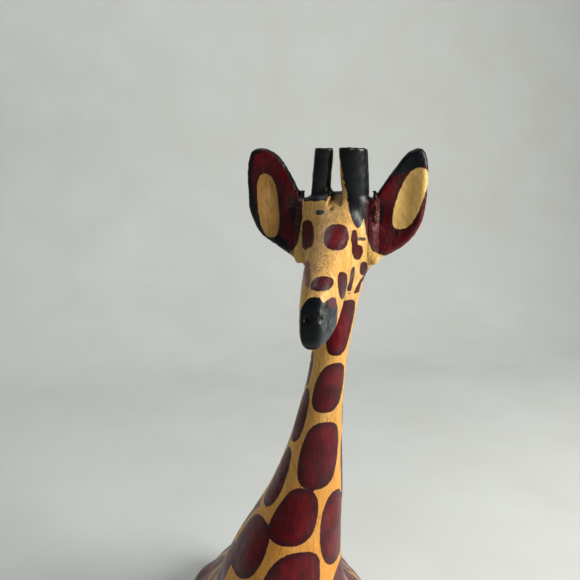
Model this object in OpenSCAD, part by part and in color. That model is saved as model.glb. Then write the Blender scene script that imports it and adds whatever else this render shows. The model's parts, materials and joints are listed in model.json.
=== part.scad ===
// Resting giraffe carved from one block of wood, with pegged and glued ears and tail.
// +X is the animal's left, -Y is where its chest points, +Z is up.
// The origin is on the table, in the middle of the flat underside.

/* [Body] */
// Length of the body from chest to rump
body_length = 98; // [92:1:106]
// Width of the body across the haunches
body_width = 68; // [62:1:72]
// Height of the back above the table
back_height = 45; // [42:1:48]

/* [Neck and head] */
// Height from the table to the flat tops of the horns
total_height = 176.5; // [170:0.5:182]
// How far the head is turned to the animal's right
head_turn = 27; // [15:1:40]
// How far the face points below level
face_pitch = 36; // [30:1:42]
// Length of the horns above the forehead
horn_height = 13.5; // [11:0.5:15]
// Width of the saw cut at the tops of the horns
saw_cut = 1.5; // [1.1:0.1:1.8]

/* [Ears] */
// Distance between the outer edges of the two ears
ear_span = 45.3; // [42:0.1:48]
// Thickness of an ear before it is hollowed
ear_thickness = 3.8; // [3.4:0.1:4.4]
// Depth of the hollow in the front of an ear
ear_hollow = 1.3; // [0.8:0.1:1.5]

/* [Pegs and glue] */
// Diameter of the pegs in the ears and the tail
peg_d = 1.6; // [1.2:0.1:1.8]
// How deep a peg goes into each of the two pieces that it joins
peg_depth = 4.5; // [3:0.5:5]
// Thickness of the glue between an ear and the head
glue_gap = 0.5; // [0.3:0.1:0.8]

/* [Tail] */
// Height of the tail root above the table
tail_height = 24; // [23:0.5:25]
// Diameter of the tail at its root
tail_d = 3.6; // [3.2:0.1:4.2]

/* [Hidden] */

wood = "#c99a45";
maroon = "#5a1a1e";
peg_wood = "#d9c08c";
filler_grey = "#a59d8c";
hoof_black = "#23262a";

left = 1;
right = -1;
round_sides = 20;
limb_sides = 12;
bore_fn = 48;
under = 60;

// Middle of the skull, seen from above, and its height
skull = [9.5, -24.5];
skull_z = total_height - horn_height - 6;
// Ear seats: distance from the middle of the skull, distance in front of it, and height
seat_out = 9.3;
seat_front = 4.5;
seat_z = skull_z - 0.5;
// The ears are cut by eye: the right one comes out wider than the left
ear_uneven = 0.75;
// Horns: how far they lean forward, how deep their roots are sunk, and how far forward they stand
horn_lean = 12;
horn_sink = 4;
horn_front = 3.5;
// Tail: face that it is glued to, radius of its bend, and how far it hangs to one side
tail_seat_y = body_length / 2 - 2;
tail_bend = 4.5;
tail_swing = 14;
tail_drop = tail_height - tail_bend - 7;

// Torso: [place along the length, half width, height], as parts of the length, width and back height
torso_rows = [
    [-0.5, 0.04, 0.28], [-0.485, 0.16, 0.46], [-0.42, 0.31, 0.74], [-0.28, 0.41, 1], [-0.1, 0.45, 1.08],
    [0.06, 0.46, 1], [0.2, 0.455, 0.86], [0.33, 0.4, 0.76], [0.44, 0.29, 0.68], [0.49, 0.15, 0.55],
    [0.5, 0.06, 0.45]
];
// Neck: [height as a part of the skull's, middle x, middle y, half width, half depth]
neck_rows = [
    [0.15, -4, -11, 22, 27], [0.25, -4.5, -12, 21.5, 26], [0.32, -4.5, -14, 19, 23],
    [0.41, -3, -17.3, 15.4, 17.5], [0.54, 1.8, -21.2, 10, 10.8], [0.665, 4.2, -24.8, 6.4, 6.8],
    [0.78, 6.1, -28.3, 5.1, 5.3], [0.865, 7.5, -27, 5.5, 6], [0.955, 9, -25, 6.6, 7.4],
    [1.02, 9.5, -24.5, 6.4, 7]
];
// Head along the face: [distance from the middle of the skull, half width, height above the axis, below it]
head_rows = [
    [-6, 3, 4, 3.5], [-3.5, 6.2, 8, 6.2], [0, 7.3, 9.8, 6.8], [3, 7.7, 10.5, 7], [8, 7.2, 10, 7],
    [14, 5.9, 9.4, 6.6], [20, 4.6, 8.8, 6.6], [26, 3.7, 8, 6.2], [31, 3.1, 6.6, 5.2], [33.5, 2.4, 4, 4]
];
// Muzzle: [distance in front of the middle of the skull, half width, top edge, bottom edge]
muzzle_rows = [[13, 3.6, -1.5, -13.5], [22, 4.1, -6.6, -21.8], [27, 3.7, -10.4, -24], [30, 3, -12.8, -25.2],
    [31, 2.2, -14.2, -24.4]];
muzzle_shift = -0.6;
// Cheeks: [height from the middle of the skull, middle to its left and front, half width, half depth]
cheek_rows = [
    [-25, -0.4, 3.2, 3.5, 3.5], [-19, -0.3, 3, 4.6, 4.6], [-16.2, 0, 3, 5.5, 4.8], [-13, 0, 3.4, 6.5, 4.6],
    [-11, 0, 4, 7.7, 4.2], [-8.5, 0, 4.3, 9.4, 4], [-4, 0, 4.5, 12, 3.9], [1, 0, 4.5, 12.6, 3.9],
    [5, 0, 4.5, 11.6, 3.8], [7.2, 0, 4.5, 9.6, 3.6], [8.6, 0, 4.3, 5, 3]
];
// Outlines of the ears: [outwards as a part of the reach, upwards from the middle of the root]
left_ear_outline = [
    [0, -6.9], [0.13, -6.4], [0.36, -5], [0.7, -1.8], [0.92, 3], [0.98, 8], [1, 13], [0.97, 18],
    [0.86, 20], [0.66, 19.4], [0.45, 16.6], [0.22, 12.8], [0.05, 9.4], [0, 7.6]
];
right_ear_outline = [
    [0, -7.4], [0.13, -6.8], [0.36, -4.7], [0.7, -1.6], [0.91, 3], [0.98, 8], [1, 13], [0.96, 18.4],
    [0.85, 20.4], [0.63, 20.6], [0.41, 18.4], [0.2, 14.4], [0.06, 10.4], [0, 8]
];

function catmull(a, b, c, d, t) =
    0.5 * (2 * b + (c - a) * t + (2 * a - 5 * b + 4 * c - d) * t ^ 2 + (3 * b - a - 3 * c + d) * t ^ 3);
function row_at(rows, s) =
    let (last = len(rows) - 1, i = min(floor(s), last - 1))
    catmull(rows[max(i - 1, 0)], rows[i], rows[i + 1], rows[min(i + 2, last)], s - i);
// Rows from one hand-placed row to the next, with one more halfway between each pair
function smooth_rows(rows) = [for (k = [0 : 2 * (len(rows) - 1)]) row_at(rows, k / 2)];
function oval(w, up, down, count) =
    [for (k = [0 : count - 1]) let (a = 360 * k / count) [w * cos(a), (sin(a) > 0 ? up : down) * sin(a)]];
function bulge(x) = sign(x) * sqrt(abs(x));
// A rounded block of half width w, from bottom to top
function block(w, top, bottom, count) =
    [for (k = [0 : count - 1]) let (a = 360 * (k + 0.5) / count)
        [w * bulge(cos(a)), (top + bottom) / 2 + (top - bottom) / 2 * bulge(sin(a))]];
function ear_reach(side) = ear_span / 2 - seat_out - glue_gap - side * ear_uneven;

// A closed skin over a stack of rings, each running anticlockwise seen from the last one
module loft(rings) {
    n = len(rings[0]);
    top = (len(rings) - 1) * n;
    polyhedron(
        points = [for (ring = rings) for (p = ring) p],
        faces = concat(
            [[for (k = [0 : n - 1]) k]],
            [for (j = [0 : n : top - n]) for (k = [0 : n - 1]) [j + k, j + n + k, j + n + (k + 1) % n]],
            [for (j = [0 : n : top - n]) for (k = [0 : n - 1]) [j + k, j + n + (k + 1) % n, j + (k + 1) % n]],
            [[for (k = [n - 1 : -1 : 0]) top + k]]
        )
    );
}

// A tapered limb with rounded ends from p to q
module limb(p, q, r_p, r_q) {
    axis = q - p;
    span = norm(axis);
    stations = concat(
        [for (a = [-80 : 30 : -20]) [r_p * sin(a), r_p * cos(a)]],
        [for (a = [20 : 30 : 80]) [span + r_q * sin(a), r_q * cos(a)]]
    );
    translate(p)
        rotate([0, acos(axis.z / span), atan2(axis.y, axis.x)])
            loft([for (s = stations) [for (c = oval(s[1], s[1], s[1], limb_sides)) [c.x, c.y, s[0]]]]);
}

module torso() {
    loft([for (row = smooth_rows(torso_rows)) let (top = row[2] * back_height, belly = 0.42 * top)
        [for (c = oval(row[1] * body_width, top - belly, 1.5 * belly, round_sides))
            [-c.x, row[0] * body_length, belly + c.y]]]);
}

module neck() {
    loft([for (row = smooth_rows(neck_rows)) [for (c = oval(row[3], row[4], row[4], round_sides))
        [row[1] + c.x, row[2] + c.y, row[0] * skull_z]]]);
}

// Fore leg and hind leg folded flat along one side of the body
module folded_legs(side) {
    knee_y = -body_length / 2 + 6;
    hock_y = body_length / 2 - 11;
    flank = body_width / 2;
    limb([side * (flank - 13), -16, 21], [side * (flank - 13), knee_y + 5, 11], 11, 8.5);
    limb([side * (flank - 13), knee_y, 6.5], [side * (flank - 7), -9, 4.6], 6.5, 4.8);
    limb([side * (flank - 14), 12, 13], [side * (flank - 15.5), 27, 14], 11, 13);
    limb([side * (flank - 12), hock_y, 7.5], [side * (flank - 5), 6, 4.6], 7, 4.8);
}

// Things placed from the middle of the skull, with the face towards -Y
module at_skull(height) {
    translate([skull.x, skull.y, height])
        rotate([0, 0, -head_turn])
            children();
}

module head() {
    at_skull(skull_z)
        rotate([90 + face_pitch, 0, 0])
            loft([for (row = smooth_rows(head_rows)) [for (c = oval(row[1], row[2], row[3], round_sides))
                [c.x, c.y, row[0]]]]);
}

// Wedge with an upright flat front, cut out of the end of the face
module muzzle() {
    at_skull(skull_z)
        rotate([90, 0, 0])
            loft([for (row = smooth_rows(muzzle_rows))
                [for (c = block(row[1], row[2], row[3], round_sides)) [muzzle_shift + c.x, c.y, row[0]]]]);
}

// Cheeks that swell out from the neck to the flat seats of the ears
module cheeks() {
    at_skull(skull_z)
        intersection() {
            loft([for (row = smooth_rows(cheek_rows))
                [for (c = oval(row[3], row[4], row[4], round_sides)) [row[1] + c.x, c.y - row[2], row[0]]]]);
            cube([2 * seat_out, under, under], center = true);
        }
}

// One horn: a round post with its inner side sawn flat
module horn(side, top_x, foot_x, r) {
    rise = total_height - skull_z;
    long = (rise - horn_sink) / cos(horn_lean) + 2;
    at_skull(skull_z)
        translate([side * foot_x, -horn_front, horn_sink])
            rotate([horn_lean, -side * atan((foot_x - top_x) / long), 0])
                cylinder(h = long, r1 = 1.08 * r, r2 = r, $fn = bore_fn);
}

// Tapered slot between the horns, wider at the forehead than at the tops
module saw_slot() {
    foot = 2.2 * saw_cut;
    at_skull(skull_z)
        rotate([90 + horn_lean, 0, 0])
            linear_extrude(height = 40, center = true)
                polygon([[-foot / 2, 6.5], [foot / 2, 6.5], [saw_cut / 2, 30], [-saw_cut / 2, 30]]);
}

// Places a thing at the root of an ear, with +X outwards along the peg
module at_ear(side, out) {
    at_skull(seat_z)
        mirror([side == right ? 1 : 0, 0, 0])
            translate([out, -seat_front, 0])
                children();
}

module peg(long) {
    rotate([0, 90, 0])
        cylinder(h = long, d = peg_d, center = true, $fn = bore_fn);
}

module ear_blank(side) {
    outline = side == right ? right_ear_outline : left_ear_outline;
    rotate([90, 0, 0])
        linear_extrude(height = ear_thickness, center = true)
            polygon([for (p = smooth_rows(outline)) [p.x * ear_reach(side), p.y]]);
}

module tail_path_frame() {
    translate([0, tail_seat_y, tail_height])
        rotate([0, tail_swing, 0])
            children();
}

module carving() {
    color(wood)
        difference() {
            union() {
                torso();
                folded_legs(left);
                folded_legs(right);
                neck();
                head();
                muzzle();
                cheeks();
                horn(left, 4.1, 4.5, 3.5);
                horn(right, 2.7, 4.4, 2.6);
            }
            translate([-under, -2 * under, -under])
                cube([2 * under, 4 * under, under]);
            translate([-under, -2 * under, total_height])
                cube([2 * under, 4 * under, under]);
            saw_slot();
            for (side = [left, right])
                at_ear(side, seat_out)
                    peg(2 * peg_depth);
            tail_path_frame() {
                rotate([-90, 0, 0])
                    cylinder(h = 20, d = tail_d + 4, $fn = bore_fn);
                rotate([0, 0, 90])
                    peg(2 * peg_depth);
            }
        }
}

module ear(side) {
    color(maroon)
        at_ear(side, seat_out + glue_gap)
            difference() {
                ear_blank(side);
                // Gutter down the front of the ear, from the root to the tip
                translate([0.52 * ear_reach(side), -ear_thickness / 2 - 7 + ear_hollow, -12])
                    rotate([0, 4, 0])
                        cylinder(h = 40, r = 7, $fn = bore_fn);
                peg(2 * peg_depth);
            }
}

// Glue and sawdust: a film under the root and a collar squeezed out round it
module ear_filler(side) {
    collar = 1.2;
    color(filler_grey)
        at_ear(side, seat_out)
            difference() {
                rotate([90, 0, 90])
                    linear_extrude(height = glue_gap + collar)
                        polygon(oval(ear_thickness / 2 + 1.3, 7.3, 6.2, round_sides));
                translate([glue_gap, 0, 0])
                    ear_blank(side);
                peg(2 * peg_depth);
            }
}

module ear_peg(side) {
    color(peg_wood)
        at_ear(side, seat_out + glue_gap / 2)
            peg(2 * peg_depth - glue_gap);
}

// Tail: out of the rump, round a bend, down to a tuft just above the table
module tail() {
    color(hoof_black)
        tail_path_frame()
            difference() {
                union() {
                    rotate([-90, 0, 0])
                        cylinder(h = 5, d = tail_d, $fn = bore_fn);
                    translate([0, 5, -tail_bend])
                        rotate([90, 0, 90])
                            rotate_extrude(angle = 90, $fn = bore_fn)
                                translate([tail_bend, 0])
                                    circle(d = tail_d, $fn = bore_fn);
                    translate([0, 5 + tail_bend, -tail_bend - tail_drop])
                        cylinder(h = tail_drop, d1 = 0.7 * tail_d, d2 = tail_d, $fn = bore_fn);
                    translate([0, 5 + tail_bend, -tail_bend - tail_drop])
                        rotate_extrude($fn = bore_fn)
                            polygon([[0, -6], [0.9, -5.6], [2.6, -1], [2.5, 2], [1.2, 6], [0, 6]]);
                }
                rotate([0, 0, 90])
                    peg(2 * peg_depth);
            }
}

module tail_peg() {
    color(peg_wood)
        tail_path_frame()
            rotate([0, 0, 90])
                peg(2 * peg_depth);
}

carving();
ear(left);  // left_ear
ear(right);  // right_ear
ear_peg(left);  // left_ear_peg
ear_peg(right);  // right_ear_peg
ear_filler(left);  // left_ear_filler
ear_filler(right);  // right_ear_filler
tail();
tail_peg();
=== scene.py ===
"""Resting giraffe carved from one block of wood: the painted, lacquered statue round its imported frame.

Shapes are worked in millimetres as distance fields (negative inside), turned into meshes, and kept in metres.
+X is the animal's left, -Y is where its chest points, +Z is up, as in the frame."""

import json
import math

import bpy
import numpy as np
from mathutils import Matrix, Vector

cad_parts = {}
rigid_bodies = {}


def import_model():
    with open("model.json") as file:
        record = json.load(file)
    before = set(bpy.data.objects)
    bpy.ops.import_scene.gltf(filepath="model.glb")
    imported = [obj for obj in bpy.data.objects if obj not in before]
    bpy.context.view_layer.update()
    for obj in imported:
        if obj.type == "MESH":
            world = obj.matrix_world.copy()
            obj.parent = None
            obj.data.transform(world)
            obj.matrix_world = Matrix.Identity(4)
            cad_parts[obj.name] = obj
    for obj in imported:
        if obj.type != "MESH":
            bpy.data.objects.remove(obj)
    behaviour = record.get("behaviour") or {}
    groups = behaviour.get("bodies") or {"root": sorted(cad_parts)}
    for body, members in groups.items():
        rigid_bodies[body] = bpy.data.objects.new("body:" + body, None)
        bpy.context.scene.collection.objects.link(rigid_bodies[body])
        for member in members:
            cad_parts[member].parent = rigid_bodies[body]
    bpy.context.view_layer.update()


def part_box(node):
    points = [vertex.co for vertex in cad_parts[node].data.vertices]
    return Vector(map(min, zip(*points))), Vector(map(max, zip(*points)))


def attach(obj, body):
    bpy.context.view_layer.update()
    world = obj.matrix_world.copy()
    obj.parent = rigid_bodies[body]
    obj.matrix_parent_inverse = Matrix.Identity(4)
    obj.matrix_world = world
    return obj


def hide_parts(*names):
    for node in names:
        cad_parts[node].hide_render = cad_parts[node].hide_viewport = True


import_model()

MM = 0.001
LEFT, RIGHT = 1, -1
low, high = (np.array(v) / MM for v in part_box("carving"))
TOP = high[2]

# ---------------------------------------------------------------- distance fields


def unite(a, b, soft):
    """Union of two fields, blended over a width of soft."""
    h = np.maximum(soft - np.abs(a - b), 0) / soft
    return np.minimum(a, b) - h * h * soft / 4


def cut(a, b, soft):
    """Field a with b taken away, the rim rounded over a width of soft."""
    return -unite(-a, b, soft)


def common(a, b, soft):
    """What is inside both fields."""
    return -unite(-a, -b, soft)


def ellipsoid(p, centre, radii):
    q = (p - np.array(centre)) / np.array(radii)
    k0 = np.linalg.norm(q, axis=-1)
    k1 = np.linalg.norm(q / np.array(radii), axis=-1)
    return k0 * (k0 - 1) / np.maximum(k1, 1e-6)


def limb(p, a, b, r_a, r_b):
    """Round limb from a to b whose radius goes from r_a to r_b."""
    a, b = np.array(a, float), np.array(b, float)
    along = b - a
    h = np.clip((p - a) @ along / (along @ along), 0, 1)
    return np.linalg.norm(p - a - h[..., None] * along, axis=-1) - (r_a + (r_b - r_a) * h)


def half_space(p, point, normal):
    n = np.array(normal, float)
    return (p - np.array(point)) @ (n / np.linalg.norm(n))


def between(a, b, c, d, t):
    """Point a part t of the way from b to c on the smooth curve through four points."""
    bend = (2 * a - 5 * b + 4 * c - d) * t**2 + (3 * b - a - 3 * c + d) * t**3
    return 0.5 * (2 * b + (c - a) * t + bend)


def catmull(rows, per_row):
    """Smooth rows through given ones."""
    rows = np.array(rows, float)
    padded = np.vstack([rows[0], rows, rows[-1]])
    out = []
    for i in range(len(rows) - 1):
        a, b, c, d = padded[i : i + 4]
        for t in np.arange(per_row) / per_row:
            out.append(between(a, b, c, d, t))
    return np.array(out + [rows[-1]])


def oval_stack(t, u, v, rows):
    """Field of a stack of ovals. Rows are [t, middle u, middle v, half width, half height above, below]."""
    fine = catmull(rows, 8)
    mid_u, mid_v, wide, above, below = (np.interp(t, fine[:, 0], fine[:, i]) for i in range(1, 6))
    u, v = u - mid_u, v - mid_v
    high_side = np.where(v > 0, above, below)
    k0 = np.hypot(u / wide, v / high_side)
    k1 = np.hypot(u / wide**2, v / high_side**2)
    d = k0 * (k0 - 1) / np.maximum(k1, 1e-6)
    d = np.where(k0 < 1e-3, -np.minimum(wide, high_side), d)
    past = np.maximum(fine[0, 0] - t, t - fine[-1, 0])
    return np.where(past > 0, np.hypot(np.maximum(d, 0), past), np.maximum(d, past))


def unevenness(p, size, seed):
    """Smooth hand-worked unevenness between about -1 and 1, with bumps of that size."""
    rng = np.random.default_rng(seed)
    total = np.zeros(p.shape[:-1])
    for _ in range(7):
        direction = rng.normal(size=3)
        direction /= np.linalg.norm(direction)
        wave = 2 * math.pi / (size * rng.uniform(0.8, 1.6))
        total += np.sin(p @ (direction * wave) + rng.uniform(0, 2 * math.pi))
    return total / 3.5


# ---------------------------------------------------------------- the carving

HORN_TOP = 19.5
SKULL = np.array([9.5, -24.5, TOP - HORN_TOP])
HEAD_TURN, FACE_PITCH = math.radians(27), math.radians(36)
# Head axes: left of the animal's face, towards its nose, up
HEAD_LEFT = np.array([math.cos(HEAD_TURN), -math.sin(HEAD_TURN), 0])
HEAD_FRONT = np.array([-math.sin(HEAD_TURN), -math.cos(HEAD_TURN), 0])
HEAD_UP = np.array([0, 0, 1.0])
SEAT_OUT, SEAT_FRONT, SEAT_UP = 9.3, 4.5, -0.5
BODY_LONG, BODY_WIDE, BACK_HIGH = 98, 68, 45

TORSO = [
    [-0.5, 0.04, 0.28], [-0.485, 0.16, 0.46], [-0.42, 0.31, 0.74], [-0.28, 0.41, 1], [-0.1, 0.45, 1.08],
    [0.06, 0.46, 1], [0.2, 0.455, 0.86], [0.33, 0.4, 0.76], [0.44, 0.29, 0.68], [0.49, 0.15, 0.55],
    [0.5, 0.06, 0.45],
]
# Height as a part of the skull's, middle x, middle y, half width, half depth
NECK = [
    [0.15, -4, -11, 22, 27], [0.25, -4.5, -12, 21.5, 26], [0.32, -4.5, -14, 19, 23],
    [0.41, -3, -17.3, 15.4, 17.5], [0.54, 1.8, -21.2, 10, 10.8], [0.665, 4.1, -24.8, 6.3, 6.8],
    [0.78, 5.7, -28.3, 4.8, 5.3], [0.865, 7.5, -27, 5.5, 6], [0.955, 9, -25, 6.6, 7.4],
    [1.02, 9.5, -24.5, 6.4, 7],
]
# Along the face from the middle of the skull, half width, above the axis, below it
HEAD = [
    [-6, 3, 4, 3.5], [-3.5, 6.2, 8.4, 6.2], [0, 7.3, 10.4, 6.8], [3, 7.7, 11.5, 7], [8, 7.2, 11.2, 7],
    [14, 5.9, 10.2, 6.6], [20, 4.6, 9.4, 6.6], [26, 3.7, 8.6, 6.4], [31, 3.1, 7.2, 5.6], [34, 2.4, 4, 4],
]
# Height from the skull, middle to the left, middle to the front, half width, half depth in front, behind
CHEEKS = [
    [-26, -0.4, 3.2, 3.2, 3.2, 3.2], [-19, -0.3, 3, 4.6, 4.8, 4.8], [-16.2, 0, 3, 5.5, 4.8, 4.8],
    [-13, 0, 3.4, 6.5, 4.6, 4.6], [-11, 0, 4, 7.7, 4.2, 4.2], [-8.5, 0, 4.3, 9.4, 4, 4],
    [-4, 0, 4.5, 12, 3.9, 3.9], [1, 0, 4.5, 12.6, 3.9, 3.9], [5, 0, 4.5, 11.6, 3.8, 3.8],
    [7.2, 0, 4.5, 9.6, 3.6, 3.6], [8.6, 0, 4.3, 5, 3, 3],
]
MUZZLE_FRONT, MUZZLE_SHIFT = 30.9, -0.6


def torso(p):
    rows = []
    for along, wide, tall in TORSO:
        top = tall * BACK_HIGH
        belly = 0.42 * top
        rows.append([along * BODY_LONG, 0, belly, wide * BODY_WIDE, top - belly, 1.45 * belly])
    return oval_stack(p[..., 1], p[..., 0], p[..., 2], rows)


def neck(p):
    rows = [[part * SKULL[2], x, y, wide, deep, deep] for part, x, y, wide, deep in NECK]
    return oval_stack(p[..., 2], p[..., 0], p[..., 1], rows)


def at_skull(p):
    """Coordinates in the head: to its left, to its front, up, from the middle of the skull."""
    q = p - SKULL
    return np.stack([q @ HEAD_LEFT, q @ HEAD_FRONT, q @ HEAD_UP], -1)


def head(p):
    q = at_skull(p)
    side, front, up = q[..., 0], q[..., 1], q[..., 2]
    along = front * math.cos(FACE_PITCH) - up * math.sin(FACE_PITCH)
    above = front * math.sin(FACE_PITCH) + up * math.cos(FACE_PITCH)
    rows = [[t, 0, 0, wide, over, under] for t, wide, over, under in HEAD]
    d = oval_stack(along, side, above, rows)
    # Flat of the face, from the feet of the horns to the top of the muzzle
    d = common(d, half_space(q, (0, 8.6, 6.9), (0, 0.66, 0.75)), 3)
    d = unite(d, muzzle(q), 2)
    for nostril in ((-1.75, 31.2, -18.2), (1.7, 31, -17.9)):
        d = cut(d, ellipsoid(q, nostril, (0.5, 0.9, 0.75)), 0.4)
    # Chip and knife cut where an eye was started
    d = cut(d, ellipsoid(q, (6.9, 10.2, -1.7), (0.9, 1.1, 1.7)), 0.8)
    # Splintered hole at the foot of the slot between the horns
    return cut(d, ellipsoid(q, (-0.6, 9.6, 5.7), (0.6, 1.6, 1.3)), 0.4)


def muzzle(q):
    """Wedge with an upright flat front, cut with a knife out of the end of the face."""
    m = q - np.array([MUZZLE_SHIFT, MUZZLE_FRONT, 0])
    plan = half_space(m, (0, 0, 0), (0, 1, 0.02))
    for s in (LEFT, RIGHT):
        plan = common(plan, half_space(m, (s * 2.35, 0, 0), (s, 0.34, 0)), 0.7)
        plan = common(plan, s * m[..., 0] - 4.1, 1.6)
    top = half_space(m, (0, 0, -13.1), (0, 0.6, 0.8))
    chin = half_space(m, (0, 0, -25.6), (0, -0.14, -0.99))
    chin = common(chin, half_space(m, (0, -11, -23.6), (0, -0.66, -0.75)), 3)
    for s in (LEFT, RIGHT):
        chin = common(chin, half_space(m, (s * 3.7, -5, -24.4), (s * 0.66, -0.1, -0.74)), 1.5)
    return common(common(common(plan, top, 4.5), chin, 3.5), -17 - m[..., 1], 1)


def ear_seats(p):
    """Cheeks that swell out from the neck to the flat seats of the ears."""
    q = at_skull(p)
    d = oval_stack(q[..., 2], q[..., 0], q[..., 1], CHEEKS)
    return common(d, np.abs(q[..., 0]) - SEAT_OUT, 0.4)


HORN_LEAN, HORN_FRONT = math.radians(12), 3.5


def horns(p):
    """Two posts with flat tops, cut from one by a saw slot."""
    q = at_skull(p)
    d = np.full(p.shape[:-1], 1e3)
    lean = math.tan(HORN_LEAN)
    for s, foot_x, top_x, r in ((LEFT, 4.4, 4.1, 3.45), (RIGHT, 4.9, 2.6, 2.3)):
        foot = (s * foot_x, HORN_FRONT, 3)
        top = (s * top_x, HORN_FRONT + 20 * lean, 23)
        post = limb(q, foot, top, 1.1 * r, r)
        d = np.minimum(d, post)
    flat = half_space(q, (0, HORN_FRONT, HORN_TOP), (0.03, -0.03, 1))
    return common(d, flat + 0.12 * unevenness(p, 1.6, 71), 0.3)


def saw_slot(p):
    q = at_skull(p)
    lean = math.tan(HORN_LEAN)
    drift = 0.12 * np.sin(0.9 * q[..., 2])
    half = 0.75 + 0.085 * np.maximum(17 - q[..., 2], 0)
    sides = np.abs(q[..., 0] - 0.15 - drift) - half
    front = q[..., 1] - HORN_FRONT - q[..., 2] * lean
    floor = 6.4 + 0.5 * (3 - front) - q[..., 2]
    return np.maximum(sides, floor)


def legs(p, s):
    """Fore and hind leg folded along side s."""
    fore = limb(p, (s * 20, -14, 25), (s * 21.5, -37, 11), 10, 7.2)
    fore = unite(fore, limb(p, (s * 21.2, -36, 9.5), (s * 20.8, -43.6, 6.2), 7, 5.8), 2.5)
    shin = limb(p, (s * 22, -43, 5), (s * 27.4, -17, 4), 4.6, 3.3)
    pastern = limb(p, (s * 27.4, -17, 4), (s * 28, -12.5, 3.6), 3.9, 3)
    hoof = limb(p, (s * 28.2, -11.5, 3.4), (s * 28.6, -6.5, 3.2), 3.5, 4.3)
    fore = unite(fore, unite(unite(shin, pastern, 0.8), hoof, 0.7), 0.8)
    hind = ellipsoid(p, (s * 19.5, 21, 15.5), (12.4, 19.5, 14))
    hind = unite(hind, limb(p, (s * 23.5, 8, 12), (s * 24.5, 18, 12), 7, 8.4), 4)
    hind = unite(hind, limb(p, (s * 22.5, 27, 9), (s * 21.5, 37.5, 6.6), 7.6, 5.8), 3)
    shank = limb(p, (s * 23, 38, 5.2), (s * 28, 11, 4), 4.7, 3.4)
    pastern = limb(p, (s * 28, 11, 4), (s * 28.6, 6.5, 3.6), 4, 3.1)
    hoof = limb(p, (s * 28.8, 5.5, 3.4), (s * 29, 0.5, 3.2), 3.5, 4.3)
    hind = unite(hind, unite(unite(shank, pastern, 0.8), hoof, 0.7), 0.8)
    return fore, hind


def carving(p):
    d = torso(p)
    for s in (LEFT, RIGHT):
        fore, hind = legs(p, s)
        d = unite(d, unite(fore, hind, 0.6), 1.6)
    upright = unite(neck(p), head(p), 4)
    d = unite(d, upright, 7)
    d = unite(d, ear_seats(p), 2.5)
    d = unite(d, horns(p), 1.6)
    d = cut(d, saw_slot(p), 0.35)
    d = d + 0.1 * unevenness(p, 9, 3) + 0.045 * unevenness(p, 2.4, 4)
    return common(d, -p[..., 2], 0.6)


# ---------------------------------------------------------------- ears, glue and tail

GLUE = 0.5
# Outwards and upwards from the middle of the root; the right ear was cut a little wider
EAR_OUTLINE = {
    LEFT: [
        [0, -6.9], [1.5, -6.4], [4.3, -5], [8.5, -1.8], [11.1, 3], [11.9, 8], [12.1, 13], [11.7, 18],
        [10.4, 19.9], [8, 19.2], [5.4, 16.5], [2.7, 12.7], [0.6, 9.4], [0, 7.6],
    ],
    RIGHT: [
        [0, -7.4], [1.7, -6.8], [4.9, -4.7], [9.5, -1.6], [12.4, 3], [13.3, 8], [13.5, 13], [13, 18.4],
        [11.6, 20.1], [8.6, 20.3], [5.6, 18.4], [2.8, 14.4], [0.8, 10.4], [0, 8],
    ],
}


def loop(points, per_point):
    """Closed smooth curve through points."""
    points = np.array(points, float)
    n, out = len(points), []
    for i in range(n):
        a, b, c, d = (points[(i + k) % n] for k in (-1, 0, 1, 2))
        for t in np.arange(per_point) / per_point:
            out.append(between(a, b, c, d, t))
    return np.array(out)


def inside_loop(x, y, curve):
    """Distance to a closed curve, negative inside it."""
    nearest, wound = np.full(x.shape, 1e9), np.zeros(x.shape, bool)
    for (ax, ay), (bx, by) in zip(curve, np.roll(curve, -1, 0)):
        dx, dy = bx - ax, by - ay
        h = np.clip(((x - ax) * dx + (y - ay) * dy) / (dx * dx + dy * dy + 1e-12), 0, 1)
        nearest = np.minimum(nearest, (x - ax - h * dx) ** 2 + (y - ay - h * dy) ** 2)
        crosses = ((ay > y) != (by > y)) & (x < dx * (y - ay) / (dy if abs(dy) > 1e-9 else 1e-9) + ax)
        wound ^= crosses
    return np.where(wound, -1, 1) * np.sqrt(nearest)


def at_ear(p, s):
    """Coordinates of an ear: outwards from its root, to the front, up."""
    q = at_skull(p)
    return np.stack([s * q[..., 0] - SEAT_OUT - GLUE, q[..., 1] - SEAT_FRONT, q[..., 2] - SEAT_UP], -1)


EAR_CURVE = {s: loop(EAR_OUTLINE[s], 5) for s in (LEFT, RIGHT)}


def ear(p, s):
    q = at_ear(p, s)
    out, front, up = q[..., 0], q[..., 1], q[..., 2]
    edge = inside_loop(out, up, EAR_CURVE[s]) - 0.25
    # A gouged gutter, deepest near the root and fading towards the tip
    line = out - 6.2 - 0.1 * up
    gutter = 1.3 * np.exp(-((line / 3.2) ** 2)) * np.interp(up, (-5, 2, 9, 19), (0.3, 0.75, 1, 0.1))
    gutter = gutter + 0.8 * np.exp(-(((out - 1.5) / 2) ** 2) - (((up - 4.5) / 3) ** 2))
    face = front - 1.8 + np.minimum(gutter, 0.7 + 0.9 * np.maximum(np.abs(up) - 1.2, 0))
    back = -front - 1.75 + 0.04 * out + 0.018 * (up - 7) ** 2 * 0.3
    d = common(edge, np.maximum(face, back), 1.5)
    d = common(d, -out, 0.3)
    return d + 0.09 * unevenness(p, 5, 11 + s) + 0.035 * unevenness(p, 1.3, 21 + s)


CRUMBS_FROM = {LEFT: 1.5, RIGHT: -2.5}


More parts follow.
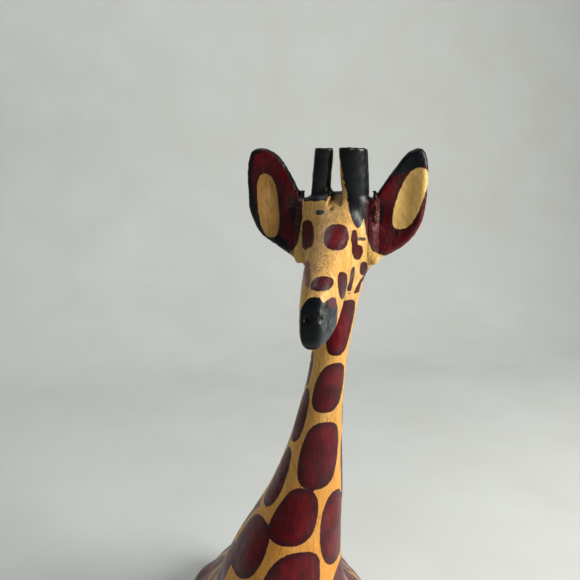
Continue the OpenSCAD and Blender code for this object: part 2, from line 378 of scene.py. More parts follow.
def crumbs(p, s):
    """Glue and sawdust squeezed out of the upper part of the joint."""
    q = at_ear(p, s)
    out, front, up = q[..., 0], q[..., 1], q[..., 2]
    lumps = 0.5 * unevenness(p, 2.1, 31 + s) + 0.28 * unevenness(p, 0.9, 41 + s)
    ring = (np.hypot(front / 2.7, (up + 0.6) / 8.7) - 1) * 2.5 - 0.3 - lumps
    band = np.abs(out + GLUE / 2) - 0.55 - 0.5 * np.maximum(lumps, 0)
    return common(common(ring, band, 0.5), CRUMBS_FROM[s] + 1.2 * lumps - up, 0.8)


def filler(p, s):
    """Glue under the root of an ear, scraped flush below and left rough above."""
    out = at_ear(p, s)[..., 0]
    bridge = unite(ear(p, s), carving(p), 2.6)
    film = common(bridge + 0.02, np.abs(out + GLUE / 2) - 1.3, 0.2)
    return unite(film, crumbs(p, s), 0.3)


TAIL_FACE, TAIL_HIGH = 47, 24
TAIL_SWING = math.radians(14)


def at_tail(p):
    """Coordinates of the tail: to the side, backwards, up, from its root."""
    q = p - np.array([0, TAIL_FACE, TAIL_HIGH])
    c, s = math.cos(TAIL_SWING), math.sin(TAIL_SWING)
    return np.stack([q[..., 0] * c - q[..., 2] * s, q[..., 1], q[..., 0] * s + q[..., 2] * c], -1)


def tail(p):
    q = at_tail(p)
    side, back, up = q[..., 0], q[..., 1], q[..., 2]
    root = np.maximum(np.hypot(side, up) - 1.72, np.maximum(-back, back - 5))
    ring = np.hypot(back - 5, up + 4.5) - 4.5
    bend = np.hypot(ring, side) - 1.72
    bend = np.maximum(bend, np.maximum(5 - back, -4.5 - up))
    hang = limb(q, (0, 9.5, -4.5), (0, 9.5, -16.5), 1.7, 1.25)
    d = unite(np.minimum(root, bend), hang, 0.3)
    turn = np.arctan2(side, back - 9.5)
    rows = [[-22.6, 0, 0, 0.8, 0.8, 0.8], [-21, 0, 0, 1.7, 1.7, 1.7], [-18, 0, 0, 2.35, 2.35, 2.35],
            [-15, 0, 0, 2.35, 2.35, 2.35], [-12.5, 0, 0, 1.7, 1.7, 1.7], [-10.8, 0, 0, 1.2, 1.2, 1.2]]
    tuft = oval_stack(up, side, back - 9.5, rows) + 0.14 * np.cos(11 * turn + 0.3 * up)
    return unite(d, tuft, 0.8) + 0.05 * unevenness(p, 4, 51)


# ---------------------------------------------------------------- meshing

CORNERS = [(i, j, k) for i in (0, 1) for j in (0, 1) for k in (0, 1)]
PAIRS = [(a, b) for a in range(8) for b in range(a + 1, 8)]
EDGES = [(a, b) for a, b in PAIRS if sum(abs(x - y) for x, y in zip(CORNERS[a], CORNERS[b])) == 1]


def skin(field, places):
    """Surface of a field sampled on a bent grid of places, as vertices and quads."""
    values = field(places)
    inside = values < 0
    parts = [inside[i : i - 1 or None, j : j - 1 or None, k : k - 1 or None] for i, j, k in CORNERS]
    count = sum(part.astype(int) for part in parts)
    cells = np.argwhere((count > 0) & (count < 8))
    number = np.full(count.shape, -1)
    number[tuple(cells.T)] = np.arange(len(cells))
    corner_value = [values[tuple((cells + c).T)] for c in CORNERS]
    corner_place = [places[tuple((cells + c).T)] for c in CORNERS]
    total, crossings = np.zeros((len(cells), 3)), np.zeros(len(cells))
    for a, b in EDGES:
        crossed = (corner_value[a] < 0) != (corner_value[b] < 0)
        span = np.where(crossed, corner_value[a] - corner_value[b], 1)
        t = corner_value[a] / span
        total[crossed] += (corner_place[a] + t[:, None] * (corner_place[b] - corner_place[a]))[crossed]
        crossings += crossed
    vertices = total / crossings[:, None]
    quads = []
    for axis in range(3):
        first = [slice(None)] * 3
        second = [slice(None)] * 3
        first[axis], second[axis] = slice(None, -1), slice(1, None)
        edge = np.argwhere(inside[tuple(first)] != inside[tuple(second)])
        u, v = [a for a in range(3) if a != axis]
        edge = edge[(edge[:, u] > 0) & (edge[:, v] > 0)]
        edge = edge[(edge[:, u] < count.shape[u]) & (edge[:, v] < count.shape[v])]
        step_u, step_v = np.eye(3, dtype=int)[u], np.eye(3, dtype=int)[v]
        around = ((1, 1), (0, 1), (0, 0), (1, 0))
        ring = [number[tuple((edge - a * step_u - b * step_v).T)] for a, b in around]
        ring = np.stack(ring, 1)
        flip = inside[tuple(edge.T)] == (axis == 1)
        ring[flip] = ring[flip][:, ::-1]
        quads.append(ring)
    return vertices, np.vstack(quads)


def slope(field, p):
    step = 0.02
    return np.stack([(field(p + step * e) - field(p - step * e)) / (2 * step) for e in np.eye(3)], -1)


def settle(field, vertices, quads, rounds):
    """Evens the mesh out, then puts every vertex back on the surface."""
    edges = np.vstack([quads[:, [0, 1]], quads[:, [1, 2]], quads[:, [2, 3]], quads[:, [3, 0]]])
    degree = np.bincount(edges.ravel(), minlength=len(vertices))[:, None]
    for _ in range(rounds):
        near = np.zeros_like(vertices)
        for i in range(3):
            near[:, i] = np.bincount(edges[:, 0], vertices[edges[:, 1], i], len(vertices))
            near[:, i] += np.bincount(edges[:, 1], vertices[edges[:, 0], i], len(vertices))
        vertices = 0.6 * vertices + 0.4 * near / degree
        away = slope(field, vertices)
        steep = np.maximum((away**2).sum(-1, keepdims=True), 0.3)
        vertices = vertices - np.clip(field(vertices)[:, None] / steep, -0.5, 0.5) * away
    return vertices


def bent_grid(levels, spacing, middle, count):
    """Grid of level slices, each centred and spaced by its own height."""
    i = np.arange(count[0]) - (count[0] - 1) / 2
    j = np.arange(count[1]) - (count[1] - 1) / 2
    x = middle[:, 0][None, None] + i[:, None, None] * spacing[None, None]
    y = middle[:, 1][None, None] + j[None, :, None] * spacing[None, None]
    shape = (count[0], count[1], len(levels))
    return np.stack([np.broadcast_to(a, shape) for a in (x, y, levels[None, None])], -1)


def mesh_object(name, vertices, quads):
    mesh = bpy.data.meshes.new(name)
    mesh.from_pydata((vertices * MM).tolist(), [], quads.tolist())
    mesh.update()
    mesh.shade_smooth()
    piece = bpy.data.objects.new(name, mesh)
    bpy.context.scene.collection.objects.link(piece)
    return piece


def carving_grid():
    """Coarse round the body, twice as fine round the head."""
    levels, spacing = [-2.0], []
    while levels[-1] < TOP + 2:
        z = levels[-1]
        gap = np.interp(z, (105, 126), (0.95, 0.46))
        spacing.append(gap)
        levels.append(z + gap)
    spacing.append(spacing[-1])
    levels, spacing = np.array(levels), np.array(spacing)
    x = np.interp(levels, (60, 110, 128), (0, 4, 7))
    y = np.interp(levels, (60, 110, 128), (-1, -24, -33))
    return bent_grid(levels, spacing, np.stack([x, y], -1), (76, 112))


# ---------------------------------------------------------------- where the paint goes


def blob(x, y, wide, tall, lean=0.0, top=0.0):
    """Outline of a brushed spot: middle, half sizes, lean, and how much wider its top is than its foot."""
    points = []
    for turn in np.arange(10) * math.tau / 10:
        across, up = math.cos(turn), math.sin(turn)
        across, up = (math.copysign(abs(v) ** 0.8, v) for v in (across, up))
        points.append((x + wide * across * (1 + top * up) + lean * tall * up, y + tall * up))
    return points


# Spots on the neck: turn in degrees, height, half sizes, lean
NECK_SPOTS = [
    blob(8, 132, 37, 7.2, 1.1), blob(-2, 116, 44, 7, 1.2), blob(-3, 97, 42, 9.5, 0.3, 0.1),
    blob(-24, 80, 30, 7.8, 0.2, -0.1),
    blob(38, 75, 25, 11, -0.5), blob(-8, 62, 26, 9, 0.4), blob(-70, 68, 29, 8.5), blob(-100, 56, 18, 8),
    blob(-87, 120, 17, 5), blob(-76, 107, 24, 8), blob(-81, 88, 22, 9), blob(71, 108, 14, 6), blob(72, 91, 20, 11),
    blob(58, 54, 28, 8),
]
# Spots on the face, laid out on a board held square to its front
FACE_SPOTS = [
    blob(-2.2, -4, 3, 3.3, 0.15), blob(-8.9, -3, 1.5, 3.8), blob(2.4, -4, 1, 2.3), blob(3.2, -7, 1.6, 1.9, 0, 0.2),
    blob(5.4, -10.8, 1.1, 1.7), blob(4.7, -15.2, 0.9, 2.8, 0.5), blob(2, -13.7, 0.8, 3.1, 0.1),
    blob(-0.9, -15.3, 1.4, 3.2, 0, 0.25), blob(-6, -15.1, 2.5, 1.7, 0.4), blob(1.4, -18.3, 0.6, 1.3, 0.4),
    blob(0.1, -24.6, 1.7, 5.4, 0.2), blob(-2.6, -29.4, 2.4, 2.6, 0.4),
]
FADED_SPOTS = [blob(-9.2, -13, 0.7, 3.2), blob(-10.7, -11, 0.6, 5)]
NOSE_SPOT = blob(-3.7, -19.3, 1.1, 1.3)
FACE_BLACK = [blob(3.3, 2.8, 2, 4, 0, 0.4), blob(-5.8, 2.4, 1, 0.7)]
# Grey streaks on the muzzle: black paint worn thin, with painted glints of light
FACE_WEAR_AND_GLINT = [blob(-5.8, -22.8, 0.7, 3.2), blob(-4.7, -29.2, 1.4, 1), blob(-4.2, -23.3, 0.4, 1.5)]
EYE_CUT = [(3.4, -3.5), (5.4, -3.3), (5.4, -4), (3.4, -4.1)]
# Bare patches in the fronts of the ears: outwards, upwards
EAR_PATCH = {LEFT: blob(8.3, 8, 3.2, 7.4, 0.3), RIGHT: blob(8.1, 6, 2.7, 8.2, 0.1)}


def round_neck(p):
    """Turn round the neck in degrees, 0 in front and growing to its left, and its radius there."""
    rows = np.array(NECK)
    part = p[:, 2] / SKULL[2]
    x, y = np.interp(part, rows[:, 0], rows[:, 1]), np.interp(part, rows[:, 0], rows[:, 2])
    girth = np.interp(part, rows[:, 0], (rows[:, 3] + rows[:, 4]) / 2)
    return np.degrees(np.arctan2(p[:, 0] - x, y - p[:, 1])), girth


def neck_spot(p, turn, spot):
    rows = np.array(NECK)
    spot = np.array(spot, float)
    girth = np.interp(spot[:, 1].mean() / SKULL[2], rows[:, 0], (rows[:, 3] + rows[:, 4]) / 2)
    scale = math.radians(1) * girth
    curve = loop(spot * (scale, 1), 4)
    return inside_loop(turn * scale, p[:, 2], curve)


def scatter(p, weight, seed):
    """Places on the surface at least their own weight apart, taken in random order."""
    rng = np.random.default_rng(seed)
    chosen = np.zeros((0, 4))
    for i in rng.permutation(len(p))[:9000]:
        if weight[i] <= 0:
            continue
        gap = np.linalg.norm(chosen[:, :3] - p[i], axis=1)
        if (gap > (weight[i] + chosen[:, 3]) / 2).all():
            chosen = np.vstack([chosen, [*p[i], weight[i]]])
    return chosen[:, :3]


def cell_spots(p, seeds, line, rounding):
    """Spots that fill the cells round seeds, with bare lines between them. Negative inside a spot."""
    out = np.empty(len(p))
    apart = np.linalg.norm(seeds[:, None] - seeds[None], axis=-1)
    for first in range(0, len(p), 4000):
        q = p[first : first + 4000]
        square = ((q[:, None] - seeds[None]) ** 2).sum(-1)
        own = square.argmin(1)
        edge = (square - square[np.arange(len(q)), own][:, None]) / (2 * np.maximum(apart[own], 1e-6))
        edge[np.arange(len(q)), own] = 1e3
        out[first : first + 4000] = -rounding * np.log(np.exp(-np.minimum(edge, 60) / rounding).sum(1))
    return line / 2 - out


def face_board(q):
    """Head coordinates laid on a board held square to the front of the face."""
    return 0.966 * q[:, 0] - 0.259 * q[:, 1], 0.985 * q[:, 2] - 0.168 * q[:, 1]


def nearest_spot(x, y, spots):
    return np.minimum.reduce([inside_loop(x, y, loop(spot, 4)) for spot in spots])


# Lower edge of the paint on the ears, carried across the joint: distances outwards, heights
EAR_EDGE = {
    LEFT: ((-2.6, -1.7, -0.4, 1.2, 2.8, 5), (3.6, -1.4, -4.8, -5.6, -6.1, -9)),
    RIGHT: ((-1.4, -0.4, 0, 0.8, 2.8, 5), (3, -2.5, -3.6, -4.6, -6.4, -10)),
}


def ear_edge(p, s):
    """Distance to the edge of the paint on an ear, negative on the painted side."""
    q = at_ear(p, s)
    across, heights = EAR_EDGE[s]
    return np.maximum(np.interp(q[:, 0], across, heights) - q[:, 2], across[0] - q[:, 0])


def carving_paint(p):
    q = at_skull(p)
    side, front, up = q[:, 0], q[:, 1], q[:, 2]
    turn, girth = round_neck(p)
    far = np.full(len(p), 20.0)
    on_face = ((front > 4.5) & (up > -16.5)) | ((front > 11) & (up > -27))
    on_neck = ~on_face & (up < -12)
    spots = far.copy()
    for spot in NECK_SPOTS:
        spots[on_neck] = np.minimum(spots[on_neck], neck_spot(p[on_neck], turn[on_neck], spot))
    x, y = face_board(q)
    spots[on_face] = nearest_spot(x[on_face], y[on_face], FACE_SPOTS)
    faded = far.copy()
    faded[on_face] = nearest_spot(x[on_face], y[on_face], FADED_SPOTS)

    # Cells everywhere the set spots do not reach
    weight = np.interp(p[:, 2], (20, 60, 110, 140, 150), (15, 13, 9.5, 7.5, 6.5))
    weight = np.where((np.abs(p[:, 0]) > 23) & (p[:, 2] < 13), 8.5, weight)
    on_front = np.minimum(turn + 84, 58 - turn) * np.radians(girth)
    on_front = np.minimum(on_front, np.minimum(p[:, 2] - 56, 143 - p[:, 2]))
    on_front = np.where(on_face, np.maximum(on_front, 8), np.where(on_neck, on_front, -8))
    seeds = scatter(p, np.where((on_front < -1.5) & (p[:, 2] > 1.5), weight, 0), 8)
    line = np.interp(p[:, 2], (30, 70, 120, 150), (2.6, 2.2, 1.7, 1.5))
    cells = cell_spots(p, seeds, line, 0.9)
    keep_off = np.maximum(line - spots, on_front)
    maroon = np.minimum(spots, np.maximum(cells, keep_off))
    for s in (LEFT, RIGHT):
        maroon = np.minimum(maroon, np.where(s * side > 7, ear_edge(p, s), 20))

    # Black horns, muzzle and hooves
    black = 6.8 + 0.35 * unevenness(p, 2.6, 61) - up
    left_raw, right_raw = np.interp(up, (7, 14, 17.5), (1.5, 0.9, 0.2)), np.interp(up, (7, 10), (0.8, -1.5))
    raw_edge = np.where(side > 0, left_raw, right_raw)
    black = np.maximum(black, raw_edge + 0.25 * unevenness(p, 1.2, 62) - saw_slot(p))
    arch = 0.4 * np.maximum(-side - 0.3, 0) ** 2 + 1.1 * np.exp(-(((side - 1.9) / 0.5) ** 2))
    muzzle_top = up + 13.1 + arch + 0.42 * np.maximum(30.3 - front, 0)
    muzzle_top = np.where(up > -29, muzzle_top, 20)
    muzzle_black = common(np.interp(up, (-25, -17), (21.5, 23.4)) - front, muzzle_top, 1.2)
    board_black = np.where(on_face, nearest_spot(x, y, FACE_BLACK), 20)
    black = np.minimum(black, np.minimum(muzzle_black, board_black))
    for s in (LEFT, RIGHT):
        fore_hoof = limb(p, (s * 28.2, -11.5, 3.4), (s * 28.6, -6.5, 3.2), 3.5, 4.3) - 0.5
        hind_hoof = limb(p, (s * 28.8, 5.5, 3.4), (s * 29, 0.5, 3.2), 3.5, 4.3) - 0.5
        black = np.minimum(black, np.where(s * p[:, 0] > 24.2, np.minimum(fore_hoof, hind_hoof), 20))
    mauve = np.where(on_face, inside_loop(x, y, loop(NOSE_SPOT, 4)), 20)
    wear_and_glint = np.where(on_face, nearest_spot(x, y, FACE_WEAR_AND_GLINT), 20)
    # Painted highlight with wear: the muzzle's side facet towards the window light, its black drawn as a lighter
    # worn grey
    facet = half_space(q - np.array([MUZZLE_SHIFT, MUZZLE_FRONT, 0]), (2.6, 0, 0), (-1, 0.2, 0))
    lit_worn_facet = np.where(on_face, np.maximum(facet, up + 14.5), 20)
    knife_cut = inside_loop(x, y, loop(EYE_CUT, 3))
    eye_cut = np.where(on_face & (side > 0), knife_cut, 20)
    measures = {"maroon": maroon, "faded": faded, "black": black, "mauve": mauve}
    return measures | {"wear_and_glint": wear_and_glint, "cut": eye_cut, "lit_worn_facet": lit_worn_facet}


def glue_paint(p, s):
    bare = -ear_edge(p, s)
    return {"bare": bare, "maroon": -bare, "black": np.full(len(p), 20.0), "crumb": crumbs(p, s) - 0.08}


def ear_paint(p, s):
    q = at_ear(p, s)
    out, front, up = q[:, 0], q[:, 1], q[:, 2]
    rim = inside_loop(out, up, EAR_CURVE[s])
    patch = inside_loop(out, up, loop(EAR_PATCH[s], 4))
    bare = np.where(front > 0, patch, 20)
    # The foot of the ear is bare like the cheek that it joins
    bare = np.minimum(bare, -ear_edge(p, s))
    if s == LEFT:
        inner = np.where((out < 8.5) & (up > 4), -0.5, 0.9)
        dark = np.minimum(15 + 0.3 * (out - 9) - up, -rim + inner)
    else:
        # Black rim band: black paint, widened on the outer and lower edge as painted shade where the rim turns
        # from the light
        wide = np.interp(up, (-6, 0, 10, 20), (3, 2.2, 1.5, 1.2))
        wide = np.where((up > 6) & (out < 9.5), 0.4, wide)
        dark = np.minimum(-rim - wide + 2 * np.maximum(3 - out, 0), -rim - 0.4)
    # Painted shadow: black laid in the cupped hollow at the foot of the ear
    root = np.hypot((out - 0.4) / 1.7, (up - 4.6) / 3.6) - 1
    dark = np.minimum(dark, np.where(front > -1, 1.8 * root, 20))
    return {"bare": bare, "black": dark, "maroon": -bare}


def tail_paint(p):
    q = at_tail(p)
    ring = np.full(len(p), 20.0)
    return {"maroon": -ring, "faded": ring, "black": q[:, 2] + 11.5, "mauve": ring, "wear_and_glint": ring, "cut": ring,
            "lit_worn_facet": ring}


# ---------------------------------------------------------------- finishes


class Finish:
    """A procedural material built node by node, measured in millimetres."""

    def __init__(self, name):
        self.material = bpy.data.materials.new(name)
        self.material.use_nodes = True
        self.tree = self.material.node_tree
        self.tree.nodes.clear()
        place = self.add("ShaderNodeTexCoord").outputs["Object"]
        self.place = self.scaled(place, (1000, 1000, 1000))

    def add(self, kind, inputs=None, **settings):
        node = self.tree.nodes.new(kind)
        for key, value in settings.items():
            setattr(node, key, value)
        for key, value in (inputs or {}).items():
            if isinstance(value, bpy.types.NodeSocket):
                self.tree.links.new(value, node.inputs[key])
            else:
                node.inputs[key].default_value = value
        return node

    def scaled(self, vector, scale):
        return self.add("ShaderNodeVectorMath", {0: vector, 1: scale}, operation="MULTIPLY").outputs[0]

    def maths(self, operation, a, b=0.0, clamp=False):
        return self.add("ShaderNodeMath", {0: a, 1: b}, operation=operation, use_clamp=clamp).outputs[0]

    def noise(self, size, detail=3.0, stretch=(1, 1, 1), rough=0.55):
        vector = self.scaled(self.place, tuple(1 / (size * v) for v in stretch))
        inputs = {"Vector": vector, "Scale": 1.0, "Detail": detail, "Roughness": rough}
        return self.add("ShaderNodeTexNoise", inputs).outputs[0]

    def fade(self, value, start, end, low=0.0, high=1.0):
        inputs = {"Value": value, "From Min": start, "From Max": end, "To Min": low, "To Max": high}
        return self.add("ShaderNodeMapRange", inputs, clamp=True).outputs[0]

    def mix(self, factor, a, b):
        node = self.add("ShaderNodeMix", {0: factor, 6: a, 7: b}, data_type="RGBA")
        return node.outputs[2]

    def measure(self, word):
        return self.add("ShaderNodeAttribute", attribute_name=word).outputs["Fac"]

    def close(self, colour, rough, height, **more):
        shader = self.add("ShaderNodeBsdfPrincipled", {"Base Color": colour, "Roughness": rough})
        for key, value in more.items():
            key = key.replace("_", " ")
            if isinstance(value, bpy.types.NodeSocket):
                self.tree.links.new(value, shader.inputs[key])
            else:
                shader.inputs[key].default_value = value
        bump = self.add("ShaderNodeBump", {"Height": height, "Strength": 1.0, "Distance": 0.001})
        self.tree.links.new(bump.outputs[0], shader.inputs["Normal"])
        self.tree.links.new(shader.outputs[0], self.add("ShaderNodeOutputMaterial").inputs[0])
        return self.material


def rgb(r, g, b):
    """Linear colour of a display colour given from 0 to 255."""
    parts = [v / 255 for v in (r, g, b)]
    return tuple(((v + 0.055) / 1.055) ** 2.4 if v > 10 / 255 else v / 12.92 for v in parts) + (1.0,)


def bare_wood(f):
    """Golden wood with upright grain, pores and, where it is cut across, end grain. Returns colour and height."""
    streaks = f.noise(0.9, 4.0, (1, 1, 9))
    broad = f.noise(9, 2.0, (1, 1, 3))
    colour = f.mix(f.fade(streaks, 0.36, 0.64), rgb(190, 144, 72), rgb(218, 182, 112))
    colour = f.mix(f.fade(broad, 0.35, 0.7, 0.0, 0.5), colour, rgb(196, 140, 62))
    colour = f.mix(f.fade(f.noise(2.4, 4.0), 0.5, 0.68, 0.0, 0.35), colour, rgb(170, 116, 54))
    facing = f.add("ShaderNodeNewGeometry").outputs["Normal"]
    upward = f.add("ShaderNodeSeparateXYZ", {0: facing}).outputs[2]
    across = f.fade(upward, 0.35, 0.75)
    pores = f.fade(f.noise(0.32, 2.0, (1, 1, 7)), 0.6, 0.72)
    specks = f.fade(f.noise(0.42, 3.0), 0.5, 0.62)
    pores = f.mix(across, pores, specks)
    height_on_neck = f.add("ShaderNodeSeparateXYZ", {0: f.place}).outputs[2]
    colour = f.mix(f.fade(height_on_neck, 50, 140, 0.75, 0.0), colour, rgb(206, 128, 32))
    colour = f.mix(f.maths("MULTIPLY", across, 0.6), colour, rgb(182, 140, 84))
    colour = f.mix(f.maths("MULTIPLY", pores, 0.6), colour, rgb(96, 58, 26))
    height = f.maths("SUBTRACT", f.maths("MULTIPLY", streaks, 0.05), f.maths("MULTIPLY", pores, 0.05))
    return colour, height


def painted_over(f, colour, distance, paint, ragged, soft):
    """Lays paint where a distance is negative, with a brushed edge. Returns colour and cover."""
    edge = f.maths("MULTIPLY", f.maths("SUBTRACT", f.noise(0.9, 4.0, (1, 1, 1.6), 0.7), 0.5), ragged)
    cover = f.fade(f.maths("ADD", distance, edge), -soft, soft, 1.0, 0.0)
    return f.mix(cover, colour, paint), cover


def wine_paint(f, distance):
    """Wine-red paint: brush marks, thin and red in the middle, nearly black round the edge."""
    brushed = f.noise(2.2, 3.0, (0.5, 0.5, 2.2))
    cloudy = f.noise(6, 2.0)
    colour = f.mix(f.fade(brushed, 0.3, 0.72), rgb(72, 4, 12), rgb(108, 4, 14))
    colour = f.mix(f.fade(cloudy, 0.42, 0.66, 0.0, 0.7), colour, rgb(44, 4, 14))
    return f.mix(f.fade(distance, -2.2, -0.1, 0.0, 0.75), colour, rgb(34, 10, 20))


def black_paint(f):
    return f.mix(f.fade(f.noise(3, 3.0, (1, 1, 2)), 0.4, 0.65), rgb(6, 9, 10), rgb(18, 23, 28))


def statue_finish():
    f = Finish("lacquered_statue")
    wood, height = bare_wood(f)
    maroon, black = f.measure("maroon"), f.measure("black")
    faded_colour = f.mix(0.55, rgb(110, 60, 62), rgb(128, 88, 66))
    colour, _ = painted_over(f, wood, f.measure("faded"), faded_colour, 0.9, 0.25)
    colour, red = painted_over(f, colour, maroon, wine_paint(f, maroon), 0.55, 0.09)
    # Painted highlight with wear on the muzzle's side facet: worn black paint drawn lighter where the window light
    # falls
    lit_worn_black = f.mix(f.fade(f.noise(1.1, 4.0, (0.7, 0.7, 1.8)), 0.4, 0.66), rgb(20, 27, 32), rgb(52, 59, 63))
    lit_worn_facet = f.fade(f.measure("lit_worn_facet"), -0.5, 0.1, 1.0, 0.0)
    colour, dark = painted_over(f, colour, black, f.mix(lit_worn_facet, black_paint(f), lit_worn_black), 0.5, 0.1)
    colour, _ = painted_over(f, colour, f.measure("mauve"), rgb(84, 50, 54), 0.6, 0.15)
    # Grey streaks on the black: worn paint with painted glints of light
    wear_and_glint = f.measure("wear_and_glint")
    streaky = f.maths("ADD", wear_and_glint, f.fade(f.noise(0.8, 4.0, (0.6, 0.6, 2)), 0.4, 0.62, -0.2, 0.9))
    wear_and_glint_grey = f.mix(f.fade(f.noise(0.7), 0.4, 0.6), rgb(46, 51, 54), rgb(88, 90, 86))
    colour, _ = painted_over(f, colour, streaky, wear_and_glint_grey, 0.5, 0.2)
    colour, _ = painted_over(f, colour, f.measure("cut"), rgb(62, 34, 14), 0.4, 0.15)
    # Edges rubbed bare, and painted shade darkening the hollows
    rubbed = f.maths("MULTIPLY", f.fade(f.measure("ridge"), 0.55, 0.85), f.fade(f.noise(1.6, 4.0), 0.52, 0.62))
    colour = f.mix(f.maths("MULTIPLY", rubbed, 0.5), colour, rgb(150, 120, 84))
    colour = f.mix(f.fade(f.measure("hollow"), 0.25, 0.85, 0.0, 0.7), colour, rgb(30, 16, 9))
    cover = f.maths("MAXIMUM", red, dark)
    height = f.maths("ADD", height, f.maths("MULTIPLY", cover, 0.05))
    brush = f.maths("MULTIPLY", f.noise(0.8, 3.0, (1, 1, 3)), f.fade(cover, 0, 1, 0.06, 0.025))
    height = f.maths("ADD", height, brush)
    rough = f.maths("ADD", f.fade(cover, 0, 1, 0.46, 0.36), f.fade(f.noise(4, 3.0), 0.35, 0.7, -0.06, 0.1))
    coat = f.fade(f.noise(7, 2.0), 0.35, 0.65, 0.06, 0.26)
    return f.close(colour, rough, height, Coat_Weight=coat, Coat_Roughness=0.3, Specular_IOR_Level=0.2)


def ear_finish(name, crumbly, tone):
    f = Finish(name)
    wood, height = bare_wood(f)
    # Bare wood mixed with the given tone: on the ears, painted shade on the right ear and painted light on the
    # left
    wood = f.mix(0.45, wood, tone)
    wine = wine_paint(f, f.measure("maroon"))
    colour, _ = painted_over(f, wine, f.measure("black"), black_paint(f), 1.1, 0.3)
    colour, patch = painted_over(f, colour, f.measure("bare"), wood, 0.6, 0.1)
    # Painted shade darkening the hollows
    colour = f.mix(f.fade(f.measure("hollow"), 0.3, 0.9, 0.0, 0.6), colour, rgb(20, 10, 8))
    rubbed = f.maths("MULTIPLY", f.fade(f.measure("ridge"), 0.6, 0.9), f.fade(f.noise(1.3, 4.0), 0.55, 0.65))
    colour = f.mix(f.maths("MULTIPLY", rubbed, 0.35), colour, rgb(120, 88, 60))
    height = f.maths("ADD", height, f.maths("MULTIPLY", patch, -0.05))
    height = f.maths("ADD", height, f.maths("MULTIPLY", f.noise(0.8, 3.0, (1, 1, 3)), 0.06))
    rough = f.fade(f.noise(4, 3.0), 0.35, 0.7, 0.36, 0.5)
    coat = f.fade(f.noise(6, 2.0), 0.35, 0.65, 0.06, 0.3)
    if crumbly:
        lumps = f.noise(0.5, 4.0)
        dried = f.mix(f.fade(lumps, 0.4, 0.6), rgb(26, 16, 12), rgb(58, 32, 22))
        dried = f.mix(f.fade(f.noise(0.4, 3.0), 0.6, 0.68), dried, rgb(140, 130, 112))
        colour, rough_part = painted_over(f, colour, f.measure("crumb"), dried, 0.4, 0.15)
        height = f.maths("ADD", height, f.maths("MULTIPLY", lumps, 0.2))
        rough = f.maths("MAXIMUM", rough, f.maths("MULTIPLY", rough_part, 0.75))
        coat = f.maths("MULTIPLY", coat, f.maths("SUBTRACT", 1.0, rough_part))
    return f.close(colour, rough, height, Coat_Weight=coat, Coat_Roughness=0.25, Specular_IOR_Level=0.2)


def dress(piece, material):
    piece.data.materials.clear()
    piece.data.materials.append(material)


def sculpt(name, field, places, nodes, rounds, paint=None):
    vertices, quads = skin(field, places)
    vertices = settle(field, vertices, quads, rounds)
    piece = mesh_object(name, vertices, quads)
    away = slope(field, vertices)
    away /= np.maximum(np.linalg.norm(away, axis=1, keepdims=True), 1e-6)
    measures = dict(paint(vertices)) if paint else {}
    # Painted shade: how deep each point lies in a hollow, which the finishes darken
    measures["hollow"] = np.clip(1 - field(vertices + 1.2 * away) / 1.2, 0, 1)
    measures["ridge"] = np.clip(1 + field(vertices - 1.0 * away) / 1.0, 0, 1)
    for word, values in measures.items():
        piece.data.attributes.new(word, "FLOAT", "POINT").data.foreach_set("value", values.astype(np.float32))
    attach(piece, "root")
    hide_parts(*nodes)
    return piece


def box_grid(name, gap, spare):
    """Even grid round the frame's box of a node."""
    lo, hi = (np.array(v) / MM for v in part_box(name))
    axes = [np.arange(a - spare, b + spare + gap, gap) for a, b in zip(lo, hi)]
    return np.stack(np.meshgrid(*axes, indexing="ij"), -1)


statue = sculpt("giraffe_carving", carving, carving_grid(), ["carving"], 3, carving_paint)
dress(statue, statue_finish())
for side, word in ((LEFT, "left"), (RIGHT, "right")):
    leaf = sculpt(
        word + "_ear_leaf", lambda p, s=side: ear(p, s), box_grid(word + "_ear", 0.3, 1.5),
        [word + "_ear"], 2, lambda p, s=side: ear_paint(p, s),
    )
    # Painted shade on the right ear's bare wood and painted light on the left ear's
    tone = rgb(120, 62, 26) if side == RIGHT else rgb(255, 214, 132)
    dress(leaf, ear_finish(word + "_ear_paint", False, tone))
    places = box_grid(word + "_ear_filler", 0.22, 2.5)
    glue = sculpt(
        word + "_glue", lambda p, s=side: filler(p, s), places, [word + "_ear_filler"], 1,
        lambda p, s=side: glue_paint(p, s),
    )
    dress(glue, ear_finish(word + "_dried_glue", True, rgb(216, 170, 90)))
for word in ("left_ear_peg", "right_ear_peg", "tail_peg"):
    f = Finish(word + "_wood")
    for piece in bpy.data.objects:
        if piece.type == "MESH" and piece.name.split(".")[0] == word:
            wood, height = bare_wood(f)
            dress(piece, f.close(wood, f.fade(f.noise(2), 0.3, 0.7, 0.5, 0.7), height))
tail_piece = sculpt("giraffe_tail", tail, box_grid("tail", 0.3, 1), ["tail"], 2, tail_paint)
dress(tail_piece, statue_finish())

# ---------------------------------------------------------------- camera and light

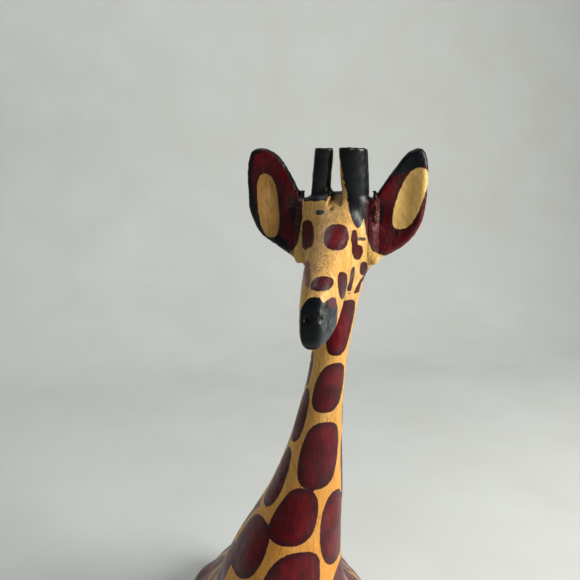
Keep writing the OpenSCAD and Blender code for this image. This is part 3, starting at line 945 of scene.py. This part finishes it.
VIEW_TURN, VIEW_PITCH = math.radians(-12), math.radians(10)
EYE = np.array([-36.1, -175.8, 168.0])
camera_data = bpy.data.cameras.new("camera")
camera_data.sensor_width = 36
camera_data.lens = camera_data.sensor_width * 600 / 580
camera_data.clip_start = 0.005
camera = bpy.data.objects.new("camera", camera_data)
camera.location = EYE * MM
camera.rotation_euler = (math.pi / 2 - VIEW_PITCH, 0, VIEW_TURN)
bpy.context.scene.collection.objects.link(camera)
bpy.context.scene.camera = camera


def backdrop():
    """Pale paper that runs over the table and curves up behind."""
    profile = [(-2.0, 0.0), (0.32, 0.0)]
    profile += [(0.32 + 0.22 * math.sin(a), 0.22 - 0.22 * math.cos(a)) for a in np.radians(range(6, 91, 6))]
    profile.append((0.54, 2.2))
    points = [(x, y, z) for x in (-12, 12) for y, z in profile]
    n = len(profile)
    mesh = bpy.data.meshes.new("backdrop")
    mesh.from_pydata(points, [], [(i, n + i, n + i + 1, i + 1) for i in range(n - 1)])
    mesh.shade_smooth()
    sheet = bpy.data.objects.new("backdrop", mesh)
    bpy.context.scene.collection.objects.link(sheet)
    f = Finish("pale_paper")
    colour = f.mix(f.fade(f.noise(60, 3.0), 0.3, 0.7), rgb(206, 208, 204), rgb(212, 215, 212))
    dress(sheet, f.close(colour, 0.85, f.maths("MULTIPLY", f.noise(0.6, 3.0), 0.02)))


def lamp(name, place, target, size, power, tint):
    light = bpy.data.lights.new(name, "AREA")
    light.size, light.energy, light.color = size, power, tint
    piece = bpy.data.objects.new(name, light)
    piece.location = place
    piece.rotation_euler = (Vector(place) - Vector(target)).to_track_quat("Z", "Y").to_euler()
    bpy.context.scene.collection.objects.link(piece)


backdrop()
lamp("window", (0.42, -0.34, 0.34), (0, -0.03, 0.13), 0.3, 5.4, (1, 0.97, 0.92))
lamp("wall_light", (-0.3, 0.1, 1.1), (-0.1, 0.54, 0.4), 0.5, 3.6, (0.95, 0.98, 1))
world = bpy.data.worlds.new("world")
bpy.context.scene.world = world
world.use_nodes = True
world.node_tree.nodes["Background"].inputs[0].default_value = (0.8, 0.85, 0.9, 1)
world.node_tree.nodes["Background"].inputs[1].default_value = 0.13
bpy.context.scene.view_settings.view_transform = "Standard"
